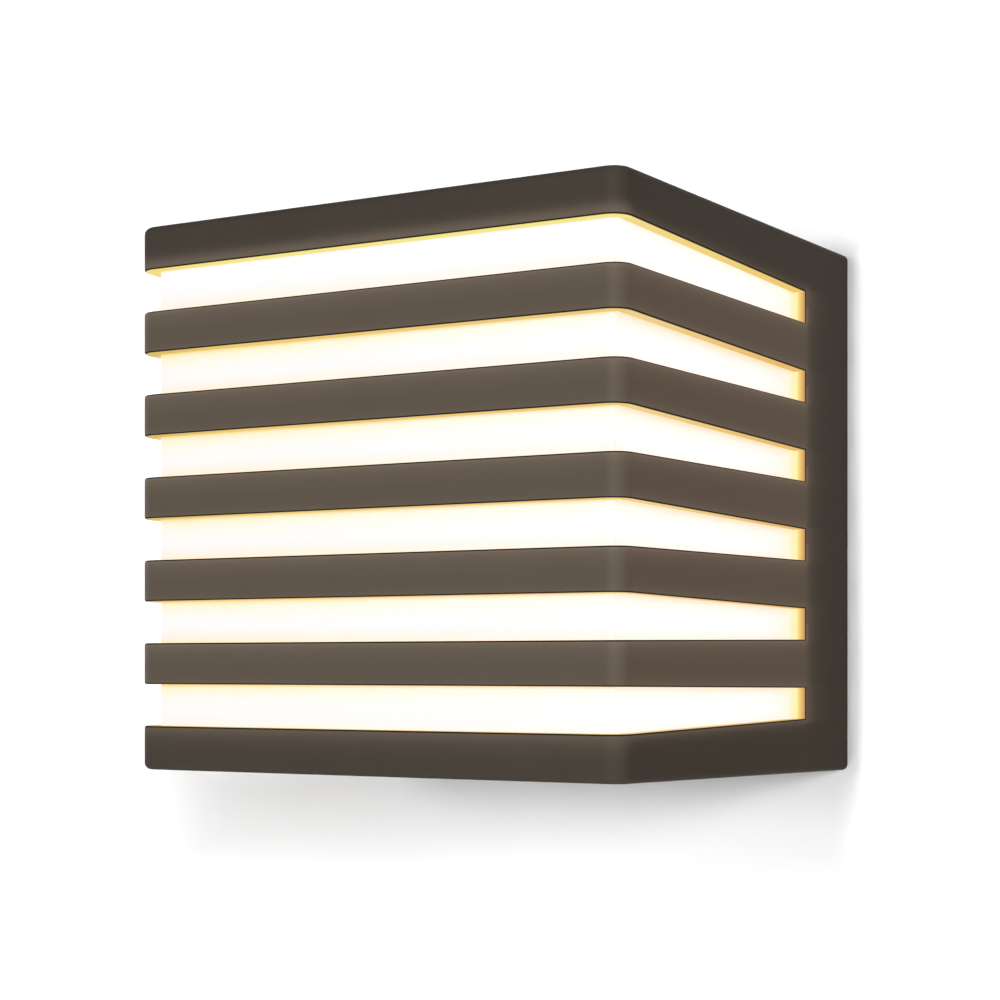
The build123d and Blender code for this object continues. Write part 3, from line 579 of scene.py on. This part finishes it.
def stage():
    """One sheet: the wall behind the light, a cove, and the floor below it."""
    half_width = 3.0
    top_z = 2.0
    floor_z = -0.9
    floor_reach = 3.0
    wall_y = 0.0004
    cove = 0.3
    bends = 8
    outline = [(wall_y, top_z), (wall_y, floor_z + cove)]
    for i in range(1, bends + 1):
        turn = math.pi / 2 * i / bends
        outline.append((wall_y - cove * (1 - math.cos(turn)), floor_z + cove * (1 - math.sin(turn))))
    outline.append((-floor_reach, floor_z))
    points = [(x, y, z) for y, z in outline for x in (-half_width, half_width)]
    faces = [(2 * i, 2 * i + 2, 2 * i + 3, 2 * i + 1) for i in range(len(outline) - 1)]
    mesh = bpy.data.meshes.new("stage")
    mesh.from_pydata(points, [], faces)
    mesh.polygons.foreach_set("use_smooth", [True] * len(faces))
    mesh.materials.append(stage_material())
    sheet = bpy.data.objects.new("stage", mesh)
    bpy.context.scene.collection.objects.link(sheet)


def softbox(name, place, aim, size, power):
    """A soft rectangular lamp turned towards a point."""
    lamp = bpy.data.lights.new(name, "AREA")
    lamp.shape = "RECTANGLE"
    lamp.size, lamp.size_y = size
    lamp.energy = power
    holder = bpy.data.objects.new(name, lamp)
    holder.location = place
    holder.rotation_euler = (Vector(aim) - Vector(place)).to_track_quat("-Z", "Y").to_euler()
    bpy.context.scene.collection.objects.link(holder)


def world(ambient):
    """Even light all round, white where the camera or a reflection looks past the stage."""
    sky = bpy.data.worlds.new("studio")
    sky.use_nodes = True
    tree = sky.node_tree
    path = tree.nodes.new("ShaderNodeLightPath")
    seen = path.outputs["Is Camera Ray"]
    for ray in ("Is Glossy Ray", "Is Transmission Ray"):
        either = tree.nodes.new("ShaderNodeMath")
        either.operation = "MAXIMUM"
        tree.links.new(seen, either.inputs[0])
        tree.links.new(path.outputs[ray], either.inputs[1])
        seen = either.outputs[0]
    strength = tree.nodes.new("ShaderNodeMapRange")
    strength.inputs["To Min"].default_value = ambient
    strength.inputs["To Max"].default_value = 1.0
    tree.links.new(seen, strength.inputs["Value"])
    background = tree.nodes["Background"]
    background.inputs["Color"].default_value = WHITE
    tree.links.new(strength.outputs["Result"], background.inputs["Strength"])
    bpy.context.scene.world = sky


def camera():
    """Level view from the right and a little below the middle, as in the photograph."""
    lens = bpy.data.cameras.new("camera")
    lens.sensor_width = 36.0
    lens.lens = 73.51
    lens.shift_y = 0.165
    holder = bpy.data.objects.new("camera", lens)
    holder.location = (0.3126, -0.6285, -0.0492)
    holder.rotation_euler = (math.radians(90.0), 0.0, math.radians(29.75))
    bpy.context.scene.collection.objects.link(holder)
    bpy.context.scene.camera = holder


# Lamps: name, place in metres, width and height in metres, and watts
lamps = (
    ("front", (0.009, -2.058, 0.0), (0.05, 0.36), 10.0),
    ("front_left", (-0.28, -2.05, 0.18), (0.45, 0.28), 6.5),
    ("fill", (0.81, -1.91, 0.17), (0.5, 0.28), 5.8),
    ("key", (1.12, -1.74, 0.20), (0.6, 0.32), 11.0),
    ("left", (-2.0, 0.3, 0.1), (0.5, 0.5), 8.0),
    ("top", (0.0, 0.35, 2.0), (0.5, 0.5), 12.0),
    ("rear", (0.0, 1.6, 0.5), (1.0, 1.0), 14.0),
)
light_middle = (0.0, -0.08, 0.0)

stage()
for name, place, size, power in lamps:
    softbox(name, place, light_middle, size, power)
world(ambient=0.08)
camera()
bpy.context.scene.view_settings.view_transform = "Standard"
